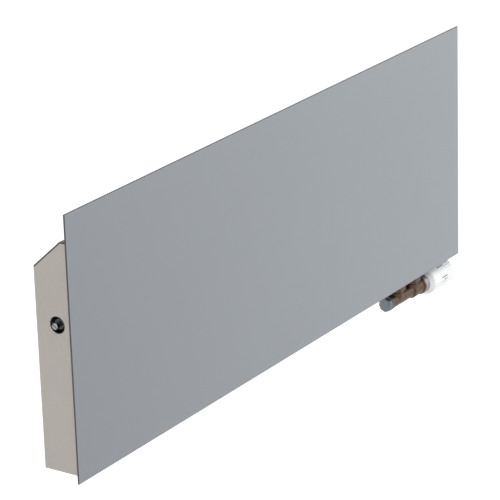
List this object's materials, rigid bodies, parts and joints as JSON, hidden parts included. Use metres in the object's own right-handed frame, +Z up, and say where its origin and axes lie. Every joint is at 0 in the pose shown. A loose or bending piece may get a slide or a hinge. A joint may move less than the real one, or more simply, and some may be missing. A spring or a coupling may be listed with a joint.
{
  "type": "wall convector heater",
  "caption": "Hot-water wall convector: flat front panel on a slim casing with sloped slotted grille, finned copper exchanger, valve block with thermostatic head and manual vent.",
  "frame": {"origin": "centre of the four wall screw holes, in the wall's plane", "axes": "+X along the heater to the right as seen from the room, +Y into the wall, +Z up"},
  "size_m": [1.104, 0.062, 0.4645],
  "materials": {
    "panel_lacquer": "satin grey powder coat on the front, darker cut edges",
    "casing_lacquer": "fine textured warm grey powder coat",
    "inner_sheet": "grey primed sheet",
    "grille_lacquer": "dark grey powder coat",
    "zinc_steel": "zinc plated",
    "fin_aluminium": "mill finish",
    "copper": "drawn copper tube",
    "vent_dark": "dark nickel with a bright rim",
    "bleed_chrome": "bright turned",
    "rubber": "matt",
    "valve_bronze": "dark bronzed brass, satin",
    "cap_nickel": "satin nickel",
    "nut_nickel": "satin nickel",
    "nylon": "moulded nylon",
    "head_white": "moulded, semi-gloss"
  },
  "bodies": {
    "casing": {"stud_grommets": "nylon", "cheek_left": "casing_lacquer", "cheek_right": "casing_lacquer", "casing_front": "inner_sheet", "casing_back": "inner_sheet", "brace_left": "zinc_steel", "brace_right": "zinc_steel", "brace_screws": "zinc_steel", "wall_rail_left": "zinc_steel", "wall_rail_right": "zinc_steel", "rail_lock_screws": "zinc_steel", "fin_pack": "fin_aluminium", "upper_tubes": "copper", "lower_tubes": "copper", "end_plate_left": "zinc_steel", "end_plate_right": "zinc_steel", "exchanger_screws": "zinc_steel", "vent_header": "copper", "supply_header": "copper", "return_header": "copper", "header_caps": "copper", "vent_plug": "vent_dark", "vent_seal": "rubber", "union_nuts": "valve_bronze", "union_seals": "rubber", "valve_body": "valve_bronze", "spindle_seal": "rubber", "thermostat_insert": "valve_bronze", "head_nut": "nut_nickel", "head_base": "head_white"},
    "panel": {"front_panel": "panel_lacquer", "panel_stiffeners": "zinc_steel", "panel_studs": "zinc_steel"},
    "grille": {"top_grille": "grille_lacquer"},
    "head": {"head_sleeve": "head_white"},
    "pin": {"valve_pin": "zinc_steel", "valve_washer": "rubber", "push_rod": "nylon", "sensor_element": "zinc_steel"},
    "cap": {"lockshield_cap": "cap_nickel"},
    "lockshield": {"lockshield_spindle": "zinc_steel"},
    "bleed": {"bleed_screw": "bleed_chrome"}
  },
  "joints": [
    {"name": "panel_pull", "type": "slide", "parent": "casing", "child": "panel", "axis": [0, -1, 0], "range_m": [0, 0.06]},
    {"name": "grille_lift", "type": "slide", "parent": "casing", "child": "grille", "axis": [0, 0, 1], "range_m": [0, 0.06]},
    {"name": "head_turn", "type": "hinge", "parent": "casing", "child": "head", "pos_m": [0.5, -0.038, -0.201], "axis": [1, 0, 0], "range_deg": [-150, 150]},
    {"name": "pin_travel", "type": "slide", "parent": "casing", "child": "pin", "axis": [1, 0, 0], "range_m": [-0.0013, 0.0013]},
    {"name": "cap_off", "type": "slide", "parent": "casing", "child": "cap", "axis": [-1, 0, 0], "range_m": [0, 0.025]},
    {"name": "lockshield_turn", "type": "hinge", "parent": "casing", "child": "lockshield", "pos_m": [0.36, -0.038, -0.201], "axis": [-1, 0, 0], "range_deg": [0, 1080]},
    {"name": "bleed_turn", "type": "hinge", "parent": "casing", "child": "bleed", "pos_m": [-0.545, -0.0368, 0.0707], "axis": [-1, 0, 0], "range_deg": [0, 360]}
  ],
  "couplings": [
    {"joint": "pin_travel", "follows": "head_turn", "m_per_rad": 0.000477}
  ]
}
